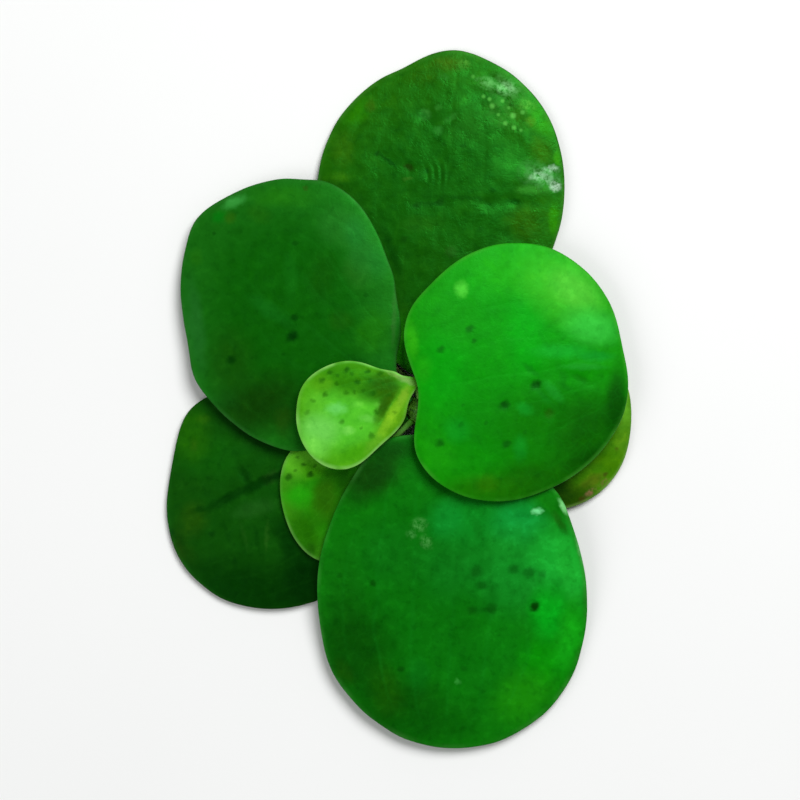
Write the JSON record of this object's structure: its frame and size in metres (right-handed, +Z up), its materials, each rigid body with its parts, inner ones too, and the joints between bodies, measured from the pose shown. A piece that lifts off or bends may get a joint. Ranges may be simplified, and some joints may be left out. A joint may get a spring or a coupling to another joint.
{
  "type": "floating round-leaved water plant",
  "caption": "Rosette of overlapping thick round floating leaves on a short crown with small hairy roots, lying flat.",
  "frame": {"origin": "centre of the plant's outline on the surface that it lies on", "axes": "+Y towards the top leaf, +X towards the bright right leaf, +Z up from the surface"},
  "size_m": [0.0534, 0.0803, 0.0061],
  "materials": {
    "leaf_top_green": "gloss",
    "leaf_left_green": "gloss",
    "leaf_lower_left_green": "gloss",
    "leaf_bottom_green": "gloss",
    "leaf_right_green": "gloss",
    "leaf_yellowing_olive": "gloss",
    "leaf_young_lime": "gloss",
    "leaf_second_young_lime": "gloss",
    "crown_pale_green": "matte",
    "root_tan": "matte"
  },
  "bodies": {
    "root": {"leaf_top": "leaf_top_green", "leaf_left": "leaf_left_green", "leaf_lower_left": "leaf_lower_left_green", "leaf_bottom": "leaf_bottom_green", "leaf_right": "leaf_right_green", "leaf_yellowing": "leaf_yellowing_olive", "leaf_young": "leaf_young_lime", "leaf_second_young": "leaf_second_young_lime", "crown": "crown_pale_green", "root_1": "root_tan", "root_2": "root_tan", "root_3": "root_tan", "root_4": "root_tan", "root_5": "root_tan"}
  },
  "joints": []
}
